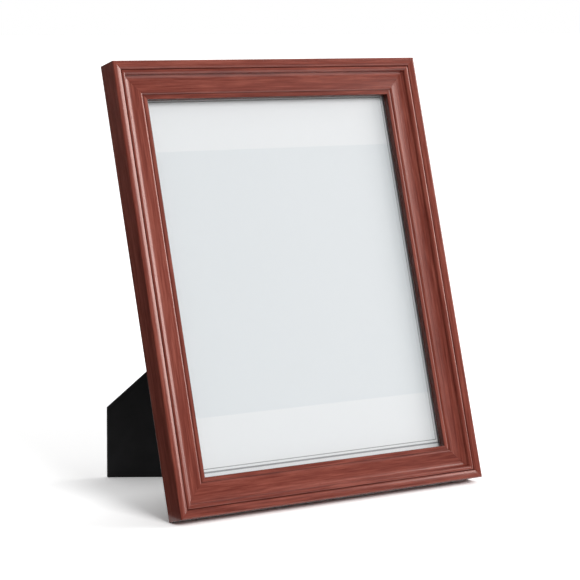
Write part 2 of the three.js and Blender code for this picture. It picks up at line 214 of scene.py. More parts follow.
def stage_sheet(name, width, height, axes, material):
    """A flat sheet of the set, which isn't part of the object."""
    shape = bmesh.new()
    bmesh.ops.create_grid(shape, size=1 / 2, matrix=axes @ Matrix.Diagonal((width, height, 1, 1)))
    sheet = add_object(name, end_mesh(shape, name))
    sheet.data.materials.append(material)
    return sheet


dark_flag, tree = new_material("dark_flag")
finish_material(tree, Base_Color=FLAG_COLOUR, Roughness=MATTE, Specular_IOR_Level=0)
flag_axes = Matrix.Translation(FLAG_PLACE) @ FLAG_FACES.to_track_quat("Z", "Y").to_matrix().to_4x4()
flag = stage_sheet("flag", FLAG_W, FLAG_H, flag_axes, dark_flag)
flag.visible_camera = False
flag.visible_diffuse = False
flag.visible_shadow = False

pale_floor, tree = new_material("pale_floor")
seen = seen_rays(tree)
floor_place = add_node(tree, "ShaderNodeTexCoord").outputs["Object"]
behind = add_node(tree, "ShaderNodeSeparateXYZ", {"Vector": floor_place}).outputs["Y"]
# Painted light: behind the frame the floor glows for what is seen, which lightens the frame's cast shadow
# there.
shadow_lift_glow = add_node(tree, "ShaderNodeMapRange", {0: behind, 1: SHADOW_LIFT_FROM, 2: SHADOW_LIFT_TO, 3: 0.0, 4: SHADOW_LIFT_GLOW})
finish_material(
    tree,
    Base_Color=mixed(tree, seen, FLOOR_COLOUR, FLOOR_WHITE),
    Roughness=MATTE,
    Specular_IOR_Level=0,
    Emission_Color=WHITE,
    Emission_Strength=calculate(tree, "MULTIPLY", seen, shadow_lift_glow.outputs[0]),
)
stage_sheet("floor", FLOOR_SIZE, FLOOR_SIZE, Matrix.Translation((0, 0, -FLOOR_DROP)), pale_floor)


# The rails: four lengths of one hardwood moulding, with two beads, a scoop that starts in a steep cove and
# a small lip beside a quirk. They are planed and stained in long lengths, mitred at 45 degrees, glued, and
# nailed across each mitre; the rebate behind takes the glass.

BEAD_CREST = 0.0158  # the outer bead's crest above the back
EDGE_R = 0.00143  # round of the outer bead, from its crest out to the side's arris
EDGE_TURN = radians(52)
OUTER_BEAD_R = 0.011  # the outer bead's flatter inner side, down to the groove
GROOVE_INSET = 0.00525  # outer side of the groove between the beads
GROOVE_W = 0.0008
GROOVE_DEPTH = 0.0015  # below the outer bead's crest
INNER_BEAD_DROP = 0.0007  # inner bead's crest below the outer bead's
SHOULDER_RUN = 0.0009  # the inner bead's flat round towards the groove
SHOULDER_RISE = 0.0003
INNER_BEAD_RUN = 0.002  # and its inner side: a quarter oval over a short straight foot
INNER_BEAD_FALL = 0.0018
INNER_BEAD_FOOT = 0.0003
COVE_RUN = 0.0043  # the scoop's steep start, a hollow quarter oval
COVE_FALL = 0.0018
SCOOP_END = 0.0197  # where the scoop rolls over into the quirk beside the lip
SCOOP_RISE = 0.0002
ROLL_R = 0.002
ROLL_TURN = radians(45)
LIP_W = 0.003
LIP_FOOT = 0.0108  # the quirk's bottom above the back
LIP_SHOULDER = 0.0008
LIP_RISE = 0.00025
LIP_NOSE = 0.0002  # fall of the lip's crest to its sight edge
REBATE_INSET = 0.0186
REBATE_DEPTH = 0.0062
ARRIS_R = 0.0004  # eased back edges
GLUE_LINE = 0.00004  # set back of each mitred face
CUT_PAST = 2 * ARRIS_R  # how far a slot or a hole is cut out past the back
NAIL_LEG = 0.0045
NAIL_T = 0.0006
NAIL_SLACK = 0.00008  # slot round a nail
SCREW_R = 0.0014
PILOT_SLACK = 0.0001  # hole round a screw's shank
BEAD_STEPS = 18
ARRIS_STEPS = 3
TURNED_STEPS = 40
WELD = 1e-6  # points nearer than this are one point
SMOOTH_ANGLE = radians(35)
CORNERS = ("bottom_left", "bottom_right", "top_right", "top_left")
CORNER_TURNS = (0, -pi / 2, pi, pi / 2)
BUTTON_PLACES = ("bottom", "right_lower", "right_upper", "top", "left_upper", "left_lower")
RAIL_SIDES = ("bottom", "right", "top", "left")
RAIL_STARTS = ((-1, 0), (1, 0), (1, 1), (-1, 1))  # in half widths from the middle, and heights
BOARD_STEP = 0.61  # along the grain, from one rail's piece of board to the next's
DARK_STAIN = (0.132, 0.0215, 0.0136, 1)
RED_STAIN = (0.212, 0.0445, 0.0295, 1)
PALE_STAIN = (0.31, 0.08, 0.055, 1)
STAIN_STOPS = (0.36, 0.5, 0.64)  # tones of the grain that take these three
GLAZE_AND_SHADE = (0.04, 0.007, 0.004, 1)  # stain that settles in the groove and quirk, and painted shade there and at the sight edge
RAW_BACK = (0.19, 0.06, 0.032, 1)
RAW_SHARE = 0.6  # how much of the stain the back lacks
BANDS = (6, 110, 110)  # figure per metre: along the grain, across it and through it
STREAKS = (35, 800, 800)
PORES = (160, 2400, 2400)
GRAIN_DETAIL = 3.0
PORE_DETAIL = 2.0
STREAK_SHARE = 0.6  # of the tone; the bands give the rest
PORE_FROM = 0.6
PORE_TO = 0.72
PORE_DARK = 0.55
# How widely and how strongly that dark colour is laid: settled stain with painted shade in the groove and
# quirk, painted shade at the lip's sight edge.
GLAZE_AND_SHADE_HALF_W = 0.0005
GROOVE_GLAZE_AND_SHADE = 0.6
QUIRK_GLAZE_AND_SHADE = 0.7
SIGHT_EDGE_SHADE = 0.7
GLOSS_PATCH = 0.012
STAIN_ROUGHNESS = (0.34, 0.44)
BACK_ROUGHNESS = 0.25  # more on the back
LACQUER = 0.8
LACQUER_ROUGHNESS = 0.15
STAIN_SPECULAR = 0.15
MOTTLE_DETAIL = 4.0
MOTTLE_FROM = 0.3  # levels of the noise where a mottle's two values are reached
MOTTLE_TO = 0.7
NOISE_ROUGHNESS = 0.6
GRAIN_STRENGTH = 0.25
GRAIN_DEPTH = 0.00005

# The frame's own axes: x to the right, y backwards and z up along the leaning back, from its lower edge.
joints = {joint["name"]: joint for joint in frame["joints"]}
right = Vector((1, 0, 0))
backwards = Vector(joints["button_top_turn"]["axis"])
bottom_points = [vertex.co for vertex in frame["nodes"]["rail_bottom"].data.vertices]
lower_edge = min(bottom_points, key=lambda at: at.z)
upright = Matrix((right, backwards, right.cross(backwards))).transposed().to_4x4()
upright.translation = (0, lower_edge.y, lower_edge.z)
from_behind = upright @ Matrix.Rotation(-pi / 2, 4, "X")  # x to the right, y down, z backwards


def box_in(axes, node):
    """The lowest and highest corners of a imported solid, measured along some other axes."""
    to_axes = axes.inverted()
    points = [to_axes @ vertex.co for vertex in frame["nodes"][node].data.vertices]
    return [Vector(map(pick, *points)) for pick in (min, max)]


def flat_middle(axes, node):
    """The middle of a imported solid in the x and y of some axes, at height 0."""
    low, high = box_in(axes, node)
    return Vector(((low.x + high.x) / 2, (low.y + high.y) / 2, 0))


outer_low = box_in(upright, "rail_left")[0]
OUTER_W = -2 * outer_low.x
OUTER_H = box_in(upright, "rail_top")[1].z
RAIL_W = box_in(upright, "rail_left")[1].x - outer_low.x
crest_inset = EDGE_R * sin(EDGE_TURN)
groove_low = GROOVE_INSET + GROOVE_W / 2
inner_start = GROOVE_INSET + GROOVE_W
lip_start = RAIL_W - LIP_W


def arc(centre, radius, start, end, steps, radius_up=None):
    """Points of a round stretch from one angle to another, or of an oval one with its own radius upwards."""
    angles = [start + (end - start) * step / steps for step in range(steps + 1)]
    return [(centre[0] + radius * cos(a), centre[1] + (radius_up or radius) * sin(a)) for a in angles]


def scoop_curve(start, low, end):
    """Points of the scoop between two ends, drawn down towards a low point."""
    points = []
    for step in range(1, BEAD_STEPS):
        t = step / BEAD_STEPS
        points.append(
            tuple((1 - t) ** 2 * a + 2 * t * (1 - t) * b + t * t * c for a, b, c in zip(start, low, end))
        )
    return points


def moulding_section():
    """The moulding's outline: inset from the outer edge, and height above the back."""
    outer_end = acos((GROOVE_INSET - crest_inset) / OUTER_BEAD_R)
    bead_foot = BEAD_CREST - INNER_BEAD_DROP - INNER_BEAD_FALL
    bead_middle = inner_start + SHOULDER_RUN
    shoulder_foot = (bead_middle, bead_foot + INNER_BEAD_FALL - SHOULDER_RISE)
    cove_top = bead_foot - INNER_BEAD_FOOT
    cove_end = (bead_middle + INNER_BEAD_RUN + COVE_RUN, cove_top - COVE_FALL)
    scoop_end = (SCOOP_END, cove_end[1] + SCOOP_RISE)
    scoop_low = ((cove_end[0] + SCOOP_END) / 2, cove_end[1])
    slope = atan2(scoop_end[1] - scoop_low[1], scoop_end[0] - scoop_low[0])
    roll_centre = (scoop_end[0] + ROLL_R * sin(slope), scoop_end[1] - ROLL_R * cos(slope))
    lip_middle = lip_start + LIP_SHOULDER
    wall_top = LIP_FOOT + LIP_RISE - LIP_NOSE
    outline = arc((ARRIS_R, ARRIS_R), ARRIS_R, -pi / 2, -pi, ARRIS_STEPS)
    outline += arc((crest_inset, BEAD_CREST - EDGE_R), EDGE_R, pi / 2 + EDGE_TURN, pi / 2, BEAD_STEPS)
    outer_side = arc((crest_inset, BEAD_CREST - OUTER_BEAD_R), OUTER_BEAD_R, pi / 2, outer_end, BEAD_STEPS)
    outline += outer_side[1:] + [(groove_low, BEAD_CREST - GROOVE_DEPTH)]
    outline += arc(shoulder_foot, SHOULDER_RUN, pi, pi / 2, BEAD_STEPS, SHOULDER_RISE)
    inner_side = arc((bead_middle, bead_foot), INNER_BEAD_RUN, pi / 2, 0, BEAD_STEPS, INNER_BEAD_FALL)
    outline += inner_side[1:]
    outline += arc((cove_end[0], cove_top), COVE_RUN, pi, 3 * pi / 2, BEAD_STEPS, COVE_FALL)
    outline += scoop_curve(cove_end, scoop_low, scoop_end)
    outline += arc(roll_centre, ROLL_R, pi / 2 + slope, pi / 2 - ROLL_TURN, BEAD_STEPS)
    outline += arc((lip_middle, LIP_FOOT), LIP_SHOULDER, pi, pi / 2, BEAD_STEPS, LIP_RISE)
    lip_side = arc((lip_middle, wall_top), RAIL_W - lip_middle, pi / 2, 0, BEAD_STEPS, LIP_NOSE)
    outline += lip_side[1:]
    outline += arc((RAIL_W - ARRIS_R, REBATE_DEPTH + ARRIS_R), ARRIS_R, 0, -pi / 2, ARRIS_STEPS)
    outline.append((REBATE_INSET, REBATE_DEPTH))
    outline += arc((REBATE_INSET - ARRIS_R, ARRIS_R), ARRIS_R, 0, -pi / 2, ARRIS_STEPS)
    return outline


def prism(name, outline, low, high):
    """A closed mesh of one outline between two heights."""
    shape = bmesh.new()
    ends = [[shape.verts.new((x, y, z)) for x, y in outline] for z in (low, high)]
    shape.faces.new(ends[0])
    shape.faces.new(ends[1])
    for i in range(len(outline)):
        shape.faces.new((ends[0][i - 1], ends[0][i], ends[1][i], ends[1][i - 1]))
    bmesh.ops.recalc_face_normals(shape, faces=shape.faces)
    return end_mesh(shape, name)


def turned(name, profile):
    """A solid turned about z, from its half outline of (radius, height) that starts and ends on the axis."""
    shape = bmesh.new()
    low_end, high_end = [shape.verts.new((0, 0, height)) for height in (profile[0][1], profile[-1][1])]
    turns = [2 * pi * step / TURNED_STEPS for step in range(TURNED_STEPS)]
    rings = []
    for radius, height in profile[1:-1]:
        rings.append([shape.verts.new((radius * cos(turn), radius * sin(turn), height)) for turn in turns])
    for i in range(TURNED_STEPS):
        shape.faces.new((low_end, rings[0][i], rings[0][i - 1]))
        for lower, upper in zip(rings, rings[1:]):
            shape.faces.new((lower[i - 1], lower[i], upper[i], upper[i - 1]))
        shape.faces.new((high_end, rings[-1][i - 1], rings[-1][i]))
    bmesh.ops.recalc_face_normals(shape, faces=shape.faces)
    return end_mesh(shape, name)


def add_faces(mesh, other):
    """Puts another mesh's faces into a mesh."""
    both = bmesh.new()
    both.from_mesh(mesh)
    both.from_mesh(other)
    both.to_mesh(mesh)
    both.free()


def shade(mesh):
    """Smooth shading that keeps flats flat: each corner follows the wide faces round it that turn little."""
    mesh.shade_smooth()
    around = [[] for vertex in mesh.vertices]
    for face in mesh.polygons:
        for vertex in face.vertices:
            around[vertex].append(face)
    limit = cos(SMOOTH_ANGLE)
    normals = []
    for face in mesh.polygons:
        for vertex in face.vertices:
            near = [other for other in around[vertex] if other.normal.dot(face.normal) > limit]
            normals.append(sum((other.normal * other.area for other in near), Vector()).normalized())
    mesh.normals_split_custom_set(normals)


def geometry_tree(name, sizes):
    """A new tree of geometry nodes with a mesh in and out, and the sockets of its named sizes."""
    tree = bpy.data.node_groups.new(name, "GeometryNodeTree")
    tree.interface.new_socket("Mesh", in_out="OUTPUT", socket_type="NodeSocketGeometry")
    tree.interface.new_socket("Mesh", in_out="INPUT", socket_type="NodeSocketGeometry")
    for label, kind in sizes.items():
        tree.interface.new_socket(label, in_out="INPUT", socket_type="NodeSocket" + kind)
    return tree, add_node(tree, "NodeGroupInput").outputs


def end_tree(tree, geometry, material):
    """Ends a tree of geometry nodes in real faces of one material."""
    real = add_node(tree, "GeometryNodeRealizeInstances", {"Geometry": geometry})
    painted = add_node(tree, "GeometryNodeSetMaterial", {"Geometry": real.outputs[0], "Material": material})
    add_node(tree, "NodeGroupOutput", {0: painted.outputs[0]})


def grown(name, start, tree, sizes, axes):
    """The piece that a tree makes from a start mesh with its sizes set, baked and put in its place."""
    piece = add_object(name, start)
    modifier = piece.modifiers.new(tree.name, "NODES")
    modifier.node_group = tree
    for socket in tree.interface.items_tree:
        if socket.in_out == "INPUT" and socket.name in sizes:
            modifier[socket.identifier] = sizes[socket.name]
    evaluated = piece.evaluated_get(bpy.context.evaluated_depsgraph_get())
    piece.data = bpy.data.meshes.new_from_object(evaluated)
    piece.modifiers.remove(modifier)
    piece.data.name = name
    piece.data.transform(axes)
    shade(piece.data)
    return piece


def fastener_tree():
    """Sets a fastener on each point of the start mesh, turned as its point says and a little by chance."""
    sizes = {"Fastener": "Object", "Loose turn": "Float", "Seed": "Int", "Metal": "Material"}
    tree, given = geometry_tree("fasteners", sizes)
    shape = add_node(tree, "GeometryNodeObjectInfo", {"Object": given["Fastener"]})
    chances = {2: 0.0, 3: given["Loose turn"], "Seed": given["Seed"]}
    chance = add_node(tree, "FunctionNodeRandomValue", chances)
    known = add_node(tree, "GeometryNodeInputNamedAttribute", {"Name": "turn"})
    turn = calculate(tree, "ADD", known.outputs[0], chance.outputs[1])
    turned_by = add_node(tree, "ShaderNodeCombineXYZ", {"Z": turn})
    placed = add_node(
        tree,
        "GeometryNodeInstanceOnPoints",
        {"Points": given["Mesh"], "Instance": shape.outputs["Geometry"], "Rotation": turned_by.outputs[0]},
    )
    end_tree(tree, placed.outputs[0], given["Metal"])
    return tree


fasteners = fastener_tree()


def set_out(name, shape, places, axes, metal, turns=None, loose_turn=0.0, seed=0):
    """One piece of like fasteners: a shape about z, set at each place and turn along the given axes."""
    points = bpy.data.meshes.new(name)
    points.from_pydata(places, [], [])
    point_turns = points.attributes.new("turn", "FLOAT", "POINT")
    point_turns.data.foreach_set("value", turns or [0.0] * len(places))
    fastener = add_object(name + "_shape", shape)
    sizes = {"Fastener": fastener, "Loose turn": loose_turn, "Seed": seed, "Metal": metal}
    piece = grown(name, points, fasteners, sizes, axes)
    bpy.data.objects.remove(fastener)
    return piece


def rail_tree():
    """A length of moulding from its section: drawn out, mitred at both ends, slotted and bored."""
    sizes = {"Length": "Float", "Glue line": "Float", "Slots": "Object", "Board": "Float", "Wood": "Material"}
    tree, given = geometry_tree("mitred_rail", sizes)
    loop = add_node(tree, "GeometryNodeMeshToCurve", {"Mesh": given["Mesh"]})
    end = add_node(tree, "GeometryNodeFillCurve", {"Curve": loop.outputs[0]}, mode="NGONS")
    reach = add_node(tree, "ShaderNodeCombineXYZ", {"Z": given["Length"]})
    drawn = add_node(
        tree,
        "GeometryNodeExtrudeMesh",
        {"Mesh": end.outputs[0], "Offset": reach.outputs[0], "Offset Scale": 1.0, "Individual": False},
    )
    other_end = add_node(tree, "GeometryNodeFlipFaces", {"Mesh": end.outputs[0]})
    both = add_node(tree, "GeometryNodeJoinGeometry", {"Geometry": drawn.outputs[0]})
    tree.links.new(other_end.outputs[0], both.inputs[0])
    closed = add_node(tree, "GeometryNodeMergeByDistance", {"Geometry": both.outputs[0], "Distance": WELD})
    place = add_node(tree, "GeometryNodeInputPosition").outputs[0]
    inset, height, along = add_node(tree, "ShaderNodeSeparateXYZ", {"Vector": place}).outputs
    share = calculate(tree, "DIVIDE", along, given["Length"])
    end_sign = calculate(tree, "MULTIPLY_ADD", share, -2.0, 1.0)  # 1 at the start and -1 at the far end
    cut = calculate(tree, "MULTIPLY", end_sign, calculate(tree, "ADD", inset, given["Glue line"]))
    moved = add_node(tree, "ShaderNodeCombineXYZ", {"Z": cut})
    shift = {"Geometry": closed.outputs[0], "Offset": moved.outputs[0]}
    mitred = add_node(tree, "GeometryNodeSetPosition", shift)
    slots = add_node(tree, "GeometryNodeObjectInfo", {"Object": given["Slots"]})
    cutting = {0: mitred.outputs[0], 1: slots.outputs["Geometry"]}
    slotted = add_node(tree, "GeometryNodeMeshBoolean", cutting, operation="DIFFERENCE")
    board_place = calculate(tree, "ADD", along, given["Board"])
    fibre = add_node(tree, "ShaderNodeCombineXYZ", {"X": board_place, "Y": inset, "Z": height})
    marked = add_node(
        tree,
        "GeometryNodeStoreNamedAttribute",
        {"Geometry": slotted.outputs[0], "Name": "grain", "Value": fibre.outputs[0]},
        data_type="FLOAT_VECTOR",
        domain="POINT",
    )
    end_tree(tree, marked.outputs[0], given["Wood"])
    return tree


def shader_group(name, inputs, output):
    """A new group of shader nodes with named inputs and one output value, and the sockets of its inputs."""
    group = bpy.data.node_groups.new(name, "ShaderNodeTree")
    for label, kind in inputs.items():
        group.interface.new_socket(label, in_out="INPUT", socket_type="NodeSocket" + kind)
    group.interface.new_socket(output, in_out="OUTPUT", socket_type="NodeSocketFloat")
    return group, add_node(group, "NodeGroupInput").outputs


def mottle_group():
    """A value that drifts between two others in soft patches, for uneven gloss."""
    inputs = {"Place": "Vector", "Size": "Float", "Least": "Float", "Most": "Float"}
    group, given = shader_group("mottle", inputs, "Value")
    scale = calculate(group, "DIVIDE", 1.0, given["Size"])
    patches = {"Vector": given["Place"], "Scale": scale, "Detail": MOTTLE_DETAIL}
    noise = add_node(group, "ShaderNodeTexNoise", patches).outputs[0]
    levels = {0: noise, 1: MOTTLE_FROM, 2: MOTTLE_TO, 3: given["Least"], 4: given["Most"]}
    spread = add_node(group, "ShaderNodeMapRange", levels)
    add_node(group, "NodeGroupOutput", {"Value": spread.outputs[0]})
    return group


mottle = mottle_group()


def mottled(tree, place, size, least, most):
    """Places the mottle in a material."""
    inputs = {"Place": place, "Size": size, "Least": least, "Most": most}
    return add_node(tree, "ShaderNodeGroup", inputs, node_tree=mottle).outputs[0]


def stretched_noise(tree, vector, stretch, detail):
    """Noise drawn out along a piece, with its figure per metre given for each way."""
    drawn = add_node(tree, "ShaderNodeVectorMath", {0: vector, 1: stretch}, operation="MULTIPLY").outputs[0]
    inputs = {"Vector": drawn, "Scale": 1.0, "Detail": detail, "Roughness": NOISE_ROUGHNESS}
    return add_node(tree, "ShaderNodeTexNoise", inputs).outputs[0]


def ramp(tree, share, stops):
    """A colour that follows a share through stops of (position, colour)."""
    node = add_node(tree, "ShaderNodeValToRGB", {0: share})
    while len(node.color_ramp.elements) < len(stops):
        node.color_ramp.elements.new(1.0)
    for element, (position, colour) in zip(node.color_ramp.elements, stops):
        element.position = position
        element.color = colour
    return node.outputs[0]


def grey(value):
    """A grey colour of one value."""
    return (value, value, value, 1)


def stained_wood_material():
    """Mahogany stain over open grain under satin lacquer, dull on the back; the groove and quirk are darkened
    by settled stain and painted shade, and the sight edge by painted shade.
    """
    material, tree = new_material("stained_wood")
    grain = add_node(tree, "ShaderNodeAttribute", attribute_name="grain").outputs["Vector"]
    ways = add_node(tree, "ShaderNodeSeparateXYZ", {"Vector": grain}).outputs
    inset, height = ways["Y"], ways["Z"]
    bands = stretched_noise(tree, grain, BANDS, GRAIN_DETAIL)
    streaks = stretched_noise(tree, grain, STREAKS, GRAIN_DETAIL)
    pores = stretched_noise(tree, grain, PORES, PORE_DETAIL)
    band_tone = calculate(tree, "MULTIPLY", bands, 1 - STREAK_SHARE)
    tone = calculate(tree, "MULTIPLY_ADD", streaks, STREAK_SHARE, band_tone)
    stain = ramp(tree, tone, list(zip(STAIN_STOPS, (DARK_STAIN, RED_STAIN, PALE_STAIN))))
    pore_mask = ramp(tree, pores, [(PORE_FROM, grey(0)), (PORE_TO, grey(PORE_DARK))])
    stain = mixed(tree, pore_mask, stain, DARK_STAIN)
    # Settled stain and painted shade in the groove and quirk, and painted shade at the sight edge and its
    # wall.
    across = calculate(tree, "DIVIDE", inset, RAIL_W)
    line = GLAZE_AND_SHADE_HALF_W / RAIL_W
    glaze_and_shade_stops = []
    for middle, share in ((groove_low / RAIL_W, GROOVE_GLAZE_AND_SHADE), (lip_start / RAIL_W, QUIRK_GLAZE_AND_SHADE)):
        glaze_and_shade_stops += [(middle - line, grey(0)), (middle, grey(share)), (middle + line, grey(0))]
    glaze_and_shade_stops += [(1 - line, grey(0)), (1, grey(SIGHT_EDGE_SHADE))]
    glaze_and_shade = ramp(tree, across, glaze_and_shade_stops)
    stain = mixed(tree, glaze_and_shade, stain, GLAZE_AND_SHADE)
    on_back = calculate(tree, "LESS_THAN", height, ARRIS_R / 2)
    colour = mixed(tree, calculate(tree, "MULTIPLY", on_back, RAW_SHARE), stain, RAW_BACK)
    gloss = mottled(tree, grain, GLOSS_PATCH, *STAIN_ROUGHNESS)
    # The lacquer is left off the back, and off the groove, quirk and sight edge as painted shade that takes
    # their reflections away.
    bare_back_and_shaded_grooves = calculate(tree, "MAXIMUM", on_back, glaze_and_shade)
    relief = calculate(tree, "SUBTRACT", streaks, pores)
    bump_inputs = {"Strength": GRAIN_STRENGTH, "Distance": GRAIN_DEPTH, "Height": relief}
    finish_material(
        tree,
        Base_Color=colour,
        Roughness=calculate(tree, "MULTIPLY_ADD", on_back, BACK_ROUGHNESS, gloss),
        Specular_IOR_Level=STAIN_SPECULAR,
        Coat_Weight=calculate(tree, "MULTIPLY_ADD", bare_back_and_shaded_grooves, -LACQUER, LACQUER),
        Coat_Roughness=LACQUER_ROUGHNESS,
        Normal=add_node(tree, "ShaderNodeBump", bump_inputs).outputs[0],
    )
    return material


def nail_mesh(slack):
    """A V-shaped nail, or its slot with some slack: two legs from the mitre, along the two rails."""
    low, high = box_in(from_behind, "corner_nail_bottom_left_1")
    half, end = NAIL_T / 2 + slack, NAIL_LEG + slack
    outline = [(-half, half), (-half, -end), (half, -end), (half, -half), (end, -half), (end, half)]
    return prism("corner_nail", outline, low.z - slack, high.z + (CUT_PAST if slack else 0))


nail_nodes = [f"corner_nail_{corner}_{count}" for corner in CORNERS for count in (1, 2)]
nail_turns = [turn for turn in CORNER_TURNS for count in (1, 2)]
nail_places = []
for node, turn in zip(nail_nodes, nail_turns):
    leg_middle = Matrix.Rotation(turn, 3, "Z") @ Vector((1, -1, 0)) * (NAIL_LEG / 2 - NAIL_T / 4)
    nail_places.append(flat_middle(from_behind, node) - leg_middle)
slots = set_out("slots", nail_mesh(NAIL_SLACK), nail_places, from_behind, None, nail_turns)

screw_places = [flat_middle(from_behind, "turn_screw_" + place) for place in BUTTON_PLACES]
screw_low, screw_high = box_in(from_behind, "turn_screw_bottom")
hole_r = SCREW_R + PILOT_SLACK
hole_end = screw_low.z - PILOT_SLACK
pilot_hole = turned("pilot_hole", [(0, hole_end), (hole_r, hole_end), (hole_r, CUT_PAST), (0, CUT_PAST)])
holes = set_out("holes", pilot_hole, screw_places, from_behind, None)
add_faces(slots.data, holes.data)
bpy.data.objects.remove(holes)

section = moulding_section()
section_points = [(inset, height, 0) for inset, height in section]
section_edges = [(i - 1, i) for i in range(1, len(section))] + [(len(section) - 1, 0)]
section_mesh = bpy.data.meshes.new("moulding_section")
section_mesh.from_pydata(section_points, section_edges, [])

mitred_rail = rail_tree()
stained_wood = stained_wood_material()
# A section's inset goes up, its height forwards and its length to the right.
along_rail = Matrix(((0, 0, 1), (0, -1, 0), (1, 0, 0))).to_4x4()
rail_lengths = (OUTER_W, OUTER_H, OUTER_W, OUTER_H)
for turn, (side, length, (across, up)) in enumerate(zip(RAIL_SIDES, rail_lengths, RAIL_STARTS)):
    start = Matrix.Translation((across * OUTER_W / 2, 0, up * OUTER_H))
    axes = upright @ start @ Matrix.Rotation(-turn * pi / 2, 4, "Y") @ along_rail
    cutter_mesh = slots.data.copy()
    cutter_mesh.transform(axes.inverted())
    cutter = add_object("cutter", cutter_mesh)
    sizes = {
        "Length": length,
        "Glue line": GLUE_LINE,
        "Slots": cutter,
        "Board": turn * BOARD_STEP,
        "Wood": stained_wood,
    }
    rail = grown("moulding_" + side, section_mesh.copy(), mitred_rail, sizes, axes)
    bpy.data.objects.remove(cutter)
    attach(rail, "frame")
    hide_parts("rail_" + side)
bpy.data.objects.remove(slots)


# The corner nails: V-shaped strips of zinc-plated steel, two pressed across each mitre from behind.
# Their edges lie just below the rails' back.

DULL_ZINC = (0.36, 0.37, 0.38, 1)
BRIGHT_ZINC = (0.56, 0.57, 0.58, 1)
ZINC_BRUSH = (900, 900, 160)  # brushed lines per metre, each way
ZINC_ROUGHNESS = 0.28
TARNISH_PATCH = 0.004
TARNISH_POLISH = 0.08  # how much less rough the bright patches are
BRUSH_ROUGHNESS = 0.18  # how much rougher the brushed lines are
BRUSH_DETAIL = 4.0
BRUSH_STRENGTH = 0.12
BRUSH_DEPTH = 0.00005


def metal_material(name, dull_colour, bright_colour, brush, roughness):
    """Plated metal: soft patches of tarnish, fine brushed lines and uneven gloss."""
    material, tree = new_material(name)
    place = add_node(tree, "ShaderNodeTexCoord").outputs["Object"]
    patches = mottled(tree, place, TARNISH_PATCH, 0.0, 1.0)
    lines = stretched_noise(tree, place, brush, BRUSH_DETAIL)
    polished = calculate(tree, "MULTIPLY_ADD", patches, -TARNISH_POLISH, roughness)
    bump_inputs = {"Strength": BRUSH_STRENGTH, "Distance": BRUSH_DEPTH, "Height": lines}
    finish_material(
        tree,
        Base_Color=mixed(tree, patches, dull_colour, bright_colour),
        Metallic=1.0,
        Roughness=calculate(tree, "MULTIPLY_ADD", lines, BRUSH_ROUGHNESS, polished),
        Normal=add_node(tree, "ShaderNodeBump", bump_inputs).outputs[0],
    )
    return material


zinc_steel = metal_material("zinc_steel", DULL_ZINC, BRIGHT_ZINC, ZINC_BRUSH, ZINC_ROUGHNESS)
nails = set_out("corner_nails", nail_mesh(0), nail_places, from_behind, zinc_steel, nail_turns)
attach(nails, "frame")
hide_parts(*nail_nodes)


# The glass: a cut pane of clear float glass with seamed edges.
# It lies loose in the rebate, against the lip and in front of the paper.

GLASS_SEAM = 0.0003
EASE_STEPS = 2
FLAT_ANGLE = radians(1)  # facets that turn less than this are one flat
GLASS_TINT = (0.985, 0.99, 0.99, 1)
GLASS_SHADE = (0.975, 0.98, 0.98, 1)  # tint of the light that falls through it
GLASS_IOR = 1.5


def eased_copy(name, node, radius, steps=EASE_STEPS):
    """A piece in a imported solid's shape, with its facets joined and its edges eased."""
    shape = bmesh.new()
    shape.from_mesh(frame["nodes"][node].data)
    bmesh.ops.remove_doubles(shape, verts=shape.verts, dist=WELD)
    bmesh.ops.dissolve_limit(shape, angle_limit=FLAT_ANGLE, verts=shape.verts, edges=shape.edges)
    sharp = [edge for edge in shape.edges if edge.calc_face_angle(0) > SMOOTH_ANGLE]
    bmesh.ops.bevel(shape, geom=sharp, offset=radius, segments=steps, profile=1 / 2, affect="EDGES")
    mesh = end_mesh(shape, name)
    shade(mesh)
    return add_object(name, mesh)


def glass_material():
    """Clear glass that lets the lamps' light through to the paper."""
    material, tree = new_material("glazing")
    body = {"Base Color": GLASS_TINT, "Roughness": 0.0, "IOR": GLASS_IOR, "Transmission Weight": 1.0}
    glass = add_node(tree, "ShaderNodeBsdfPrincipled", body)
    clear = add_node(tree, "ShaderNodeBsdfTransparent", {"Color": GLASS_SHADE})
    path = add_node(tree, "ShaderNodeLightPath").outputs
    light = calculate(tree, "MAXIMUM", path["Is Shadow Ray"], path["Is Diffuse Ray"])
    both = add_node(tree, "ShaderNodeMixShader", {0: light, 1: glass.outputs[0], 2: clear.outputs[0]})
    add_node(tree, "ShaderNodeOutputMaterial", {"Surface": both.outputs[0]})
    return material


glass = eased_copy("glass", "glass_pane", GLASS_SEAM)
glass.data.materials.append(glass_material())
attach(glass, "frame")
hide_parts("glass_pane")


# The print: a sheet of smooth white paper with a pale block and a double ruled border.
# It lies loose between the glass and the backing board.

PAPER_EASE = 0.00005
PAPER = (0.82, 0.836, 0.852, 1)
PALE_BLOCK = (0.75, 0.781, 0.804, 1)
RULE_GREY = (0.3, 0.31, 0.32, 1)
BLOCK_LOW = -0.0842  # from the sheet's middle
BLOCK_HIGH = 0.0885
RULE_HALF_W = 0.0974  # middle of the outer rule from the sheet's middle
RULE_HALF_H = 0.1212
RULE_RAISED = 0.0023  # the printed border sits a little high on the sheet
OUTER_RULE = 0.0011
INNER_RULE = 0.0005
RULE_GAP = 0.0022
FIBRE_SIZE = 0.0007
FIBRE_SHADE = (0.985, 1.0)
PAPER_PATCH = 0.006
PAPER_ROUGHNESS = (0.5, 0.62)


def mark_places(piece, name, axes):
    """Keeps each point's place along the given axes in an attribute, for a pattern that follows the piece."""
    to_axes = axes.inverted()
    places = piece.data.attributes.new(name, "FLOAT_VECTOR", "POINT")
    coordinates = [part for vertex in piece.data.vertices for part in to_axes @ vertex.co]
    places.data.foreach_set("vector", coordinates)


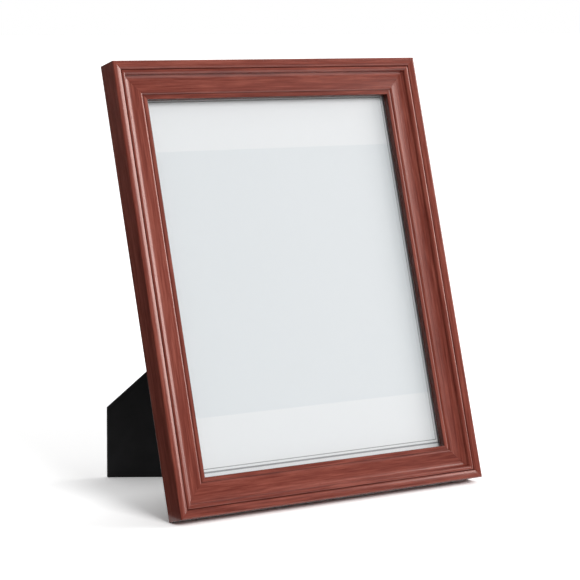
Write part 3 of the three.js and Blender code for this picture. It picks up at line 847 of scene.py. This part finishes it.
def paper_material():
    """White paper with fine fibres, printed in pale greys."""
    material, tree = new_material("paper")
    place = add_node(tree, "ShaderNodeAttribute", attribute_name="sheet").outputs["Vector"]
    ways = add_node(tree, "ShaderNodeSeparateXYZ", {"Vector": place}).outputs
    from_middle = calculate(tree, "SUBTRACT", ways["Z"], (BLOCK_LOW + BLOCK_HIGH) / 2)
    block_half_h = (BLOCK_HIGH - BLOCK_LOW) / 2
    in_block = calculate(tree, "LESS_THAN", calculate(tree, "ABSOLUTE", from_middle), block_half_h)
    colour = mixed(tree, in_block, PAPER, PALE_BLOCK)
    side = calculate(tree, "SUBTRACT", calculate(tree, "ABSOLUTE", ways["X"]), RULE_HALF_W)
    raised = calculate(tree, "ABSOLUTE", calculate(tree, "SUBTRACT", ways["Z"], RULE_RAISED))
    end = calculate(tree, "SUBTRACT", raised, RULE_HALF_H)
    edge = calculate(tree, "MAXIMUM", side, end)
    outer_rule = calculate(tree, "COMPARE", edge, 0.0, OUTER_RULE / 2)
    inner_rule = calculate(tree, "COMPARE", edge, -RULE_GAP, INNER_RULE / 2)
    colour = mixed(tree, calculate(tree, "MAXIMUM", outer_rule, inner_rule), colour, RULE_GREY)
    fibres = mottled(tree, place, FIBRE_SIZE, *FIBRE_SHADE)
    fibre_shade = add_node(tree, "ShaderNodeCombineColor", {0: fibres, 1: fibres, 2: fibres}).outputs[0]
    colour = mixed(tree, 1.0, colour, fibre_shade, "MULTIPLY")
    finish_material(tree, Base_Color=colour, Roughness=mottled(tree, place, PAPER_PATCH, *PAPER_ROUGHNESS))
    return material


print_sheet = eased_copy("print", "print_sheet", PAPER_EASE, steps=1)
sheet_low, sheet_high = box_in(upright, "print_sheet")
mark_places(print_sheet, "sheet", upright @ Matrix.Translation((sheet_low + sheet_high) / 2))
print_sheet.data.materials.append(paper_material())
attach(print_sheet, "frame")
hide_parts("print_sheet")


# The backing board: hardboard faced with matte black paper, cut to the print's size.
# It presses paper and glass against the lip, and the strut's hinge is riveted to it.

BOARD_EASE = 0.0003
BLACK_PAPER = (0.009, 0.0087, 0.01, 1)
RUBBED_PAPER = (0.017, 0.0165, 0.018, 1)
BARE_BOARD = (0.06, 0.042, 0.03, 1)
RUB_PATCH = 0.02
BOARD_FIBRES = (1500, 1500, 1500)
BOARD_FIBRE_DETAIL = 6.0
BOARD_FIBRE_STRENGTH = 0.35
BOARD_FIBRE_DEPTH = 0.0001
BOARD_ROUGHNESS = 0.78
RUB_POLISH = 0.1  # how much less rough the rubbed patches are
BOARD_SPECULAR = 0.3
WORN_W = 0.0006
WORN_AMOUNT = 0.7
WORN_FROM = 0.99  # how far an edge's round faces with the flat, where wear starts and where it is full
WORN_FULL = 0.85
WORN_SAMPLES = 4
WORN_NOISE = 320.0
WORN_DETAIL = 5.0
WORN_BREAK_FROM = 0.4  # levels of the noise that break the wear up
WORN_BREAK_TO = 0.65


def worn_edge_group():
    """A mask of the edges that handling rubs, broken up by noise."""
    inputs = {"Place": "Vector", "Width": "Float", "Amount": "Float"}
    group, given = shader_group("rubbed_edges", inputs, "Mask")
    rounded = add_node(group, "ShaderNodeBevel", {"Radius": given["Width"]}, samples=WORN_SAMPLES).outputs[0]
    flat = add_node(group, "ShaderNodeNewGeometry").outputs["Normal"]
    facing = add_node(group, "ShaderNodeVectorMath", {0: rounded, 1: flat}, operation="DOT_PRODUCT")
    edge_levels = {0: facing.outputs["Value"], 1: WORN_FROM, 2: WORN_FULL, 3: 0.0, 4: 1.0}
    edge = add_node(group, "ShaderNodeMapRange", edge_levels)
    flecks = {"Vector": given["Place"], "Scale": WORN_NOISE, "Detail": WORN_DETAIL}
    noise = add_node(group, "ShaderNodeTexNoise", flecks)
    break_levels = {0: noise.outputs[0], 1: WORN_BREAK_FROM, 2: WORN_BREAK_TO, 3: 0.0, 4: 1.0}
    broken = add_node(group, "ShaderNodeMapRange", break_levels)
    worn = calculate(group, "MULTIPLY", edge.outputs[0], broken.outputs[0])
    add_node(group, "NodeGroupOutput", {"Mask": calculate(group, "MULTIPLY", worn, given["Amount"])})
    return group


def black_board_material():
    """Matte black paper over hardboard: fine fibres, faint rubbed patches and paler, worn edges."""
    material, tree = new_material("black_board")
    place = add_node(tree, "ShaderNodeTexCoord").outputs["Object"]
    patches = mottled(tree, place, RUB_PATCH, 0.0, 1.0)
    fibres = stretched_noise(tree, place, BOARD_FIBRES, BOARD_FIBRE_DETAIL)
    colour = mixed(tree, calculate(tree, "MULTIPLY", patches, fibres), BLACK_PAPER, RUBBED_PAPER)
    wear = {"Place": place, "Width": WORN_W, "Amount": WORN_AMOUNT}
    worn = add_node(tree, "ShaderNodeGroup", wear, node_tree=worn_edge_group()).outputs[0]
    bump_inputs = {"Strength": BOARD_FIBRE_STRENGTH, "Distance": BOARD_FIBRE_DEPTH, "Height": fibres}
    finish_material(
        tree,
        Base_Color=mixed(tree, worn, colour, BARE_BOARD),
        Roughness=calculate(tree, "MULTIPLY_ADD", patches, -RUB_POLISH, BOARD_ROUGHNESS),
        Specular_IOR_Level=BOARD_SPECULAR,
        Normal=add_node(tree, "ShaderNodeBump", bump_inputs).outputs[0],
    )
    return material


black_board = black_board_material()
backing = eased_copy("backing", "backing_board", BOARD_EASE)
backing.data.materials.append(black_board)
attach(backing, "frame")
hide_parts("backing_board")


# The turn buttons: small plates of brass-plated steel, pressed out and tumbled smooth.
# Each turns on a slotted round-head screw in the rail's back, and its tip holds the board in.

BUTTON_R = 0.0045
BUTTON_TIP_R = 0.0032
BUTTON_EASE = 0.0002
BUTTON_TURNS = (0, -pi / 2, -pi / 2, pi, pi / 2, pi / 2)
SCREW_POINT = 0.0025
SCREW_HEAD_R = 0.003
SCREW_HEAD_H = 0.0018
SCREW_RIM = 0.0006
SCREW_SLOT_W = 0.0008
SCREW_SLOT_DEPTH = 0.0008
SCREW_EASE = 0.0001
SCREW_SEED = 4
ROUND_STEPS = 24
DOME_STEPS = ROUND_STEPS // 2
SHEARED_ANGLE = radians(60)  # edges of a pressed plate that turn more than this are eased
DULL_BRASS = (0.42, 0.263, 0.0775, 1)
BRIGHT_BRASS = (0.54, 0.358, 0.113, 1)
BRASS_BRUSH = (900, 160, 900)
BRASS_ROUGHNESS = 0.26


def plate(name, outline, holes, low, high, ease):
    """A pressed plate with round holes of (x, y, radius), between two heights, its edges eased."""
    shape = bmesh.new()
    edges = []
    for loop in [outline] + [arc(hole[:2], hole[2], 0, 2 * pi, ROUND_STEPS)[:-1] for hole in holes]:
        verts = [shape.verts.new((x, y, low)) for x, y in loop]
        edges += [shape.edges.new((verts[i - 1], verts[i])) for i in range(len(verts))]
    bmesh.ops.triangle_fill(shape, edges=edges, use_beauty=True)
    raised = bmesh.ops.extrude_face_region(shape, geom=list(shape.faces), use_keep_orig=True)["geom"]
    raised_verts = [part for part in raised if isinstance(part, bmesh.types.BMVert)]
    bmesh.ops.translate(shape, verts=raised_verts, vec=(0, 0, high - low))
    bmesh.ops.recalc_face_normals(shape, faces=shape.faces)
    sharp = [edge for edge in shape.edges if edge.calc_face_angle(0) > SHEARED_ANGLE]
    bmesh.ops.bevel(shape, geom=sharp, offset=ease, segments=EASE_STEPS, profile=1 / 2, affect="EDGES")
    return end_mesh(shape, name)


def cut_away(name, mesh, tool):
    """A mesh less the part of it that a tool's shape takes up."""
    piece = add_object(name, mesh)
    cutter = add_object("cutter", tool)
    cut = piece.modifiers.new("cut", "BOOLEAN")
    cut.operation = "DIFFERENCE"
    cut.object = cutter
    evaluated = piece.evaluated_get(bpy.context.evaluated_depsgraph_get())
    result = bpy.data.meshes.new_from_object(evaluated)
    bpy.data.objects.remove(piece)
    bpy.data.objects.remove(cutter)
    return result


def place_mesh(name, mesh, axes, material):
    """A finished piece from a mesh drawn along its own axes."""
    mesh.transform(axes)
    mesh.materials.append(material)
    shade(mesh)
    return add_object(name, mesh)


brass_plate = metal_material("brass_plate", DULL_BRASS, BRIGHT_BRASS, BRASS_BRUSH, BRASS_ROUGHNESS)
for place, turn, screw_place in zip(BUTTON_PLACES, BUTTON_TURNS, screw_places):
    low, high = box_in(from_behind, "turn_button_" + place)
    reach = max(high.x - low.x, high.y - low.y) - BUTTON_R - BUTTON_TIP_R
    taper = asin((BUTTON_R - BUTTON_TIP_R) / reach)
    outline = arc((0, 0), BUTTON_R, -taper, pi + taper, ROUND_STEPS)
    outline += arc((0, -reach), BUTTON_TIP_R, pi + taper, 2 * pi - taper, ROUND_STEPS)
    mesh = plate("button_" + place, outline, [(0, 0, hole_r)], low.z, high.z, BUTTON_EASE)
    axes = from_behind @ Matrix.Translation(screw_place) @ Matrix.Rotation(turn, 4, "Z")
    button = place_mesh("button_" + place, mesh, axes, brass_plate)
    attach(button, "button_" + place)
    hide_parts("turn_button_" + place)

head_top = screw_high.z
head_seat = head_top - SCREW_HEAD_H
rim_top = head_seat + SCREW_RIM
profile = [(0, screw_low.z), (SCREW_R, screw_low.z + SCREW_POINT), (SCREW_R, head_seat)]
profile += [(SCREW_HEAD_R - SCREW_EASE, head_seat), (SCREW_HEAD_R, head_seat + SCREW_EASE)]
dome = arc((0, rim_top), SCREW_HEAD_R, 0, pi / 2, DOME_STEPS, SCREW_HEAD_H - SCREW_RIM)
profile += dome[:-1] + [(0, head_top)]
half_slot = SCREW_SLOT_W / 2
slot_reach = 2 * SCREW_HEAD_R
slot_outline = [(x * slot_reach, y * half_slot) for x, y in ((-1, -1), (1, -1), (1, 1), (-1, 1))]
slot_tool = prism("slot", slot_outline, head_top - SCREW_SLOT_DEPTH, head_top + SCREW_SLOT_DEPTH)
screw_mesh = cut_away("screw", turned("screw", profile), slot_tool)
by_chance = {"loose_turn": 2 * pi, "seed": SCREW_SEED}
screws = set_out("turn_screws", screw_mesh, screw_places, from_behind, zinc_steel, **by_chance)
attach(screws, "frame")
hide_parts(*["turn_screw_" + place for place in BUTTON_PLACES])


# The strut's hinge: two leaves of pressed brass-plated steel, whose rolled knuckles turn on a steel pin.
# One leaf is riveted to the board, the other to the leg; its stop lugs meet the board's leaf when open.

LEAF_T = 0.0008
LEAF_CORNER_R = 0.0025
LEAF_CORNER_STEPS = 6
LEAF_EASE = 0.00015
KNUCKLES = 5
KNUCKLE_GAP = 0.0003
ROLL_END = radians(203)
LUG_REACH = 0.007
LUG_T = 0.0008
LUG_GAP = 0.0003
RIVET_R = 0.0012
RIVET_HEAD_R = 0.0022
RIVET_HEAD_H = 0.0009
RIVET_PLACES = ("upper", "lower")
PIN_R = 0.0008
PIN_HEAD_H = 0.0006

# The hinge's own axes: y along the pin and z backwards; swing is turned out with the open leg.
strut_joint = joints["strut_hinge"]
pin_line = Vector(strut_joint["axis"])
hinge = Matrix((pin_line.cross(backwards), pin_line, backwards)).transposed().to_4x4()
hinge.translation = strut_joint["pos_m"]
open_angle = radians(strut_joint["range_deg"][1])
swing = hinge @ Matrix.Rotation(-open_angle, 4, "Y")
half_turn = Matrix.Rotation(pi, 4, "Y")
along_pin = Matrix.Rotation(pi / 2, 4, "X")  # a section's x and y become x and z, and its depth runs along -y
leaf_low, leaf_high = box_in(hinge, "hinge_board_leaf")
LEAF_REACH = -leaf_low.x
HINGE_W = leaf_high.y - leaf_low.y
KNUCKLE_R = leaf_high.z
KNUCKLE_BORE = KNUCKLE_R - LEAF_T
PLATE_EDGE = KNUCKLE_R + KNUCKLE_GAP
knuckle_pitch = HINGE_W / KNUCKLES


def hinge_tree():
    """A leaf: its plate joined to rolled knuckles at every second place along the pin."""
    sizes = {"Knuckle": "Object", "Count": "Int", "First": "Float", "Pitch": "Float", "Metal": "Material"}
    tree, given = geometry_tree("hinge_leaf", sizes)
    shape = add_node(tree, "GeometryNodeObjectInfo", {"Object": given["Knuckle"]})
    first = add_node(tree, "ShaderNodeCombineXYZ", {"Y": given["First"]})
    step = add_node(tree, "ShaderNodeCombineXYZ", {"Y": given["Pitch"]})
    stations = {"Count": given["Count"], "Start Location": first.outputs[0], "Offset": step.outputs[0]}
    line = add_node(tree, "GeometryNodeMeshLine", stations)
    knuckles = {"Points": line.outputs[0], "Instance": shape.outputs["Geometry"]}
    row = add_node(tree, "GeometryNodeInstanceOnPoints", knuckles)
    real = add_node(tree, "GeometryNodeRealizeInstances", {"Geometry": row.outputs[0]})
    whole = {"Self Intersection": True}
    joined = add_node(tree, "GeometryNodeMeshBoolean", whole, operation="UNION", solver="EXACT")
    tree.links.new(given["Mesh"], joined.inputs[1])
    tree.links.new(real.outputs[0], joined.inputs[1])
    end_tree(tree, joined.outputs[0], given["Metal"])
    return tree


def knuckle_mesh(with_lug):
    """One rolled knuckle with the strip that joins it to its plate, and a stop lug where it has one."""
    join = PLATE_EDGE + LEAF_T
    length = knuckle_pitch - KNUCKLE_GAP
    outline = [(-join, -KNUCKLE_R)] + arc((0, 0), KNUCKLE_R, -pi / 2, ROLL_END, ROUND_STEPS)
    outline += arc((0, 0), KNUCKLE_BORE, ROLL_END, -pi / 2, ROUND_STEPS) + [(-join, -KNUCKLE_BORE)]
    knuckle = prism("knuckle", outline, -length / 2, length / 2)
    knuckle.transform(along_pin)
    if with_lug:
        low = LUG_GAP - KNUCKLE_BORE
        start = (KNUCKLE_R + KNUCKLE_BORE) / 2
        lug_outline = [(-LUG_REACH, low), (-start, low), (-start, low + LUG_T), (-LUG_REACH, low + LUG_T)]
        lug = prism("lug", lug_outline, -length / 2, length / 2)
        lug.transform(half_turn.inverted() @ Matrix.Rotation(open_angle, 4, "Y") @ along_pin)
        add_faces(knuckle, lug)
    return knuckle


corner_centre = (LEAF_CORNER_R - LEAF_REACH, HINGE_W / 2 - LEAF_CORNER_R)
leaf_outline = arc(corner_centre, LEAF_CORNER_R, pi / 2, pi, LEAF_CORNER_STEPS)
leaf_outline += [(x, -y) for x, y in reversed(leaf_outline)]
leaf_outline += [(-PLATE_EDGE, -HINGE_W / 2), (-PLATE_EDGE, HINGE_W / 2)]
rivet_middles = [flat_middle(hinge, "board_rivet_" + place) for place in RIVET_PLACES]
leaf_holes = [(middle.x, middle.y, RIVET_R + PILOT_SLACK) for middle in rivet_middles]
hinge_leaf = hinge_tree()
for side, first, count, axes in (("board", 0, 3, hinge), ("strut", 1, 2, swing @ half_turn)):
    name = f"{side}_leaf"
    leaf_plate = plate(name, leaf_outline, leaf_holes, -KNUCKLE_R, LEAF_T - KNUCKLE_R, LEAF_EASE)
    knuckle = add_object("knuckle", knuckle_mesh(side == "strut"))
    sizes = {
        "Knuckle": knuckle,
        "Count": count,
        "First": (first + 1 / 2) * knuckle_pitch - HINGE_W / 2,
        "Pitch": 2 * knuckle_pitch,
        "Metal": brass_plate,
    }
    leaf = grown(name, leaf_plate, hinge_leaf, sizes, axes)
    bpy.data.objects.remove(knuckle)
    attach(leaf, "frame" if side == "board" else "strut")
    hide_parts(f"hinge_{side}_leaf")

pin_high = box_in(hinge, "hinge_pin")[1]
neck = pin_high.y - PIN_HEAD_H
peened = arc((0, neck), pin_high.x, 0, pi / 2, DOME_STEPS, PIN_HEAD_H)[:-1]
upper_half = [(PIN_R, neck)] + peened + [(0, pin_high.y)]
profile = [(radius, -height) for radius, height in reversed(upper_half)] + upper_half
pin = place_mesh("pin", turned("pin", profile), hinge @ along_pin, zinc_steel)
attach(pin, "frame")
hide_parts("hinge_pin")

for side, axes, body in (("board", hinge, "frame"), ("strut", swing, "strut")):
    nodes = [f"{side}_rivet_{place}" for place in RIVET_PLACES]
    places = [flat_middle(axes, node) for node in nodes]
    low, high = box_in(axes, nodes[0])
    head_seat = high.z - RIVET_HEAD_H
    dome = arc((0, head_seat), RIVET_HEAD_R, 0, pi / 2, DOME_STEPS, RIVET_HEAD_H)[:-1]
    profile = [(0, low.z), (RIVET_R, low.z), (RIVET_R, head_seat)] + dome + [(0, high.z)]
    rivets = set_out(side + "_rivets", turned("rivet", profile), places, axes, zinc_steel)
    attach(rivets, body)
    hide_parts(*nodes)


# The strut's leg: hardboard faced with matte black paper, cut to a right-angled foot with bevelled ends.
# It is riveted to the hinge and swings out from the board to hold the frame up, either way round.

LEG_EASE = 0.0003
leg = eased_copy("leg", "strut_leg", LEG_EASE)
leg.data.materials.append(black_board)
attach(leg, "strut")
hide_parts("strut_leg")
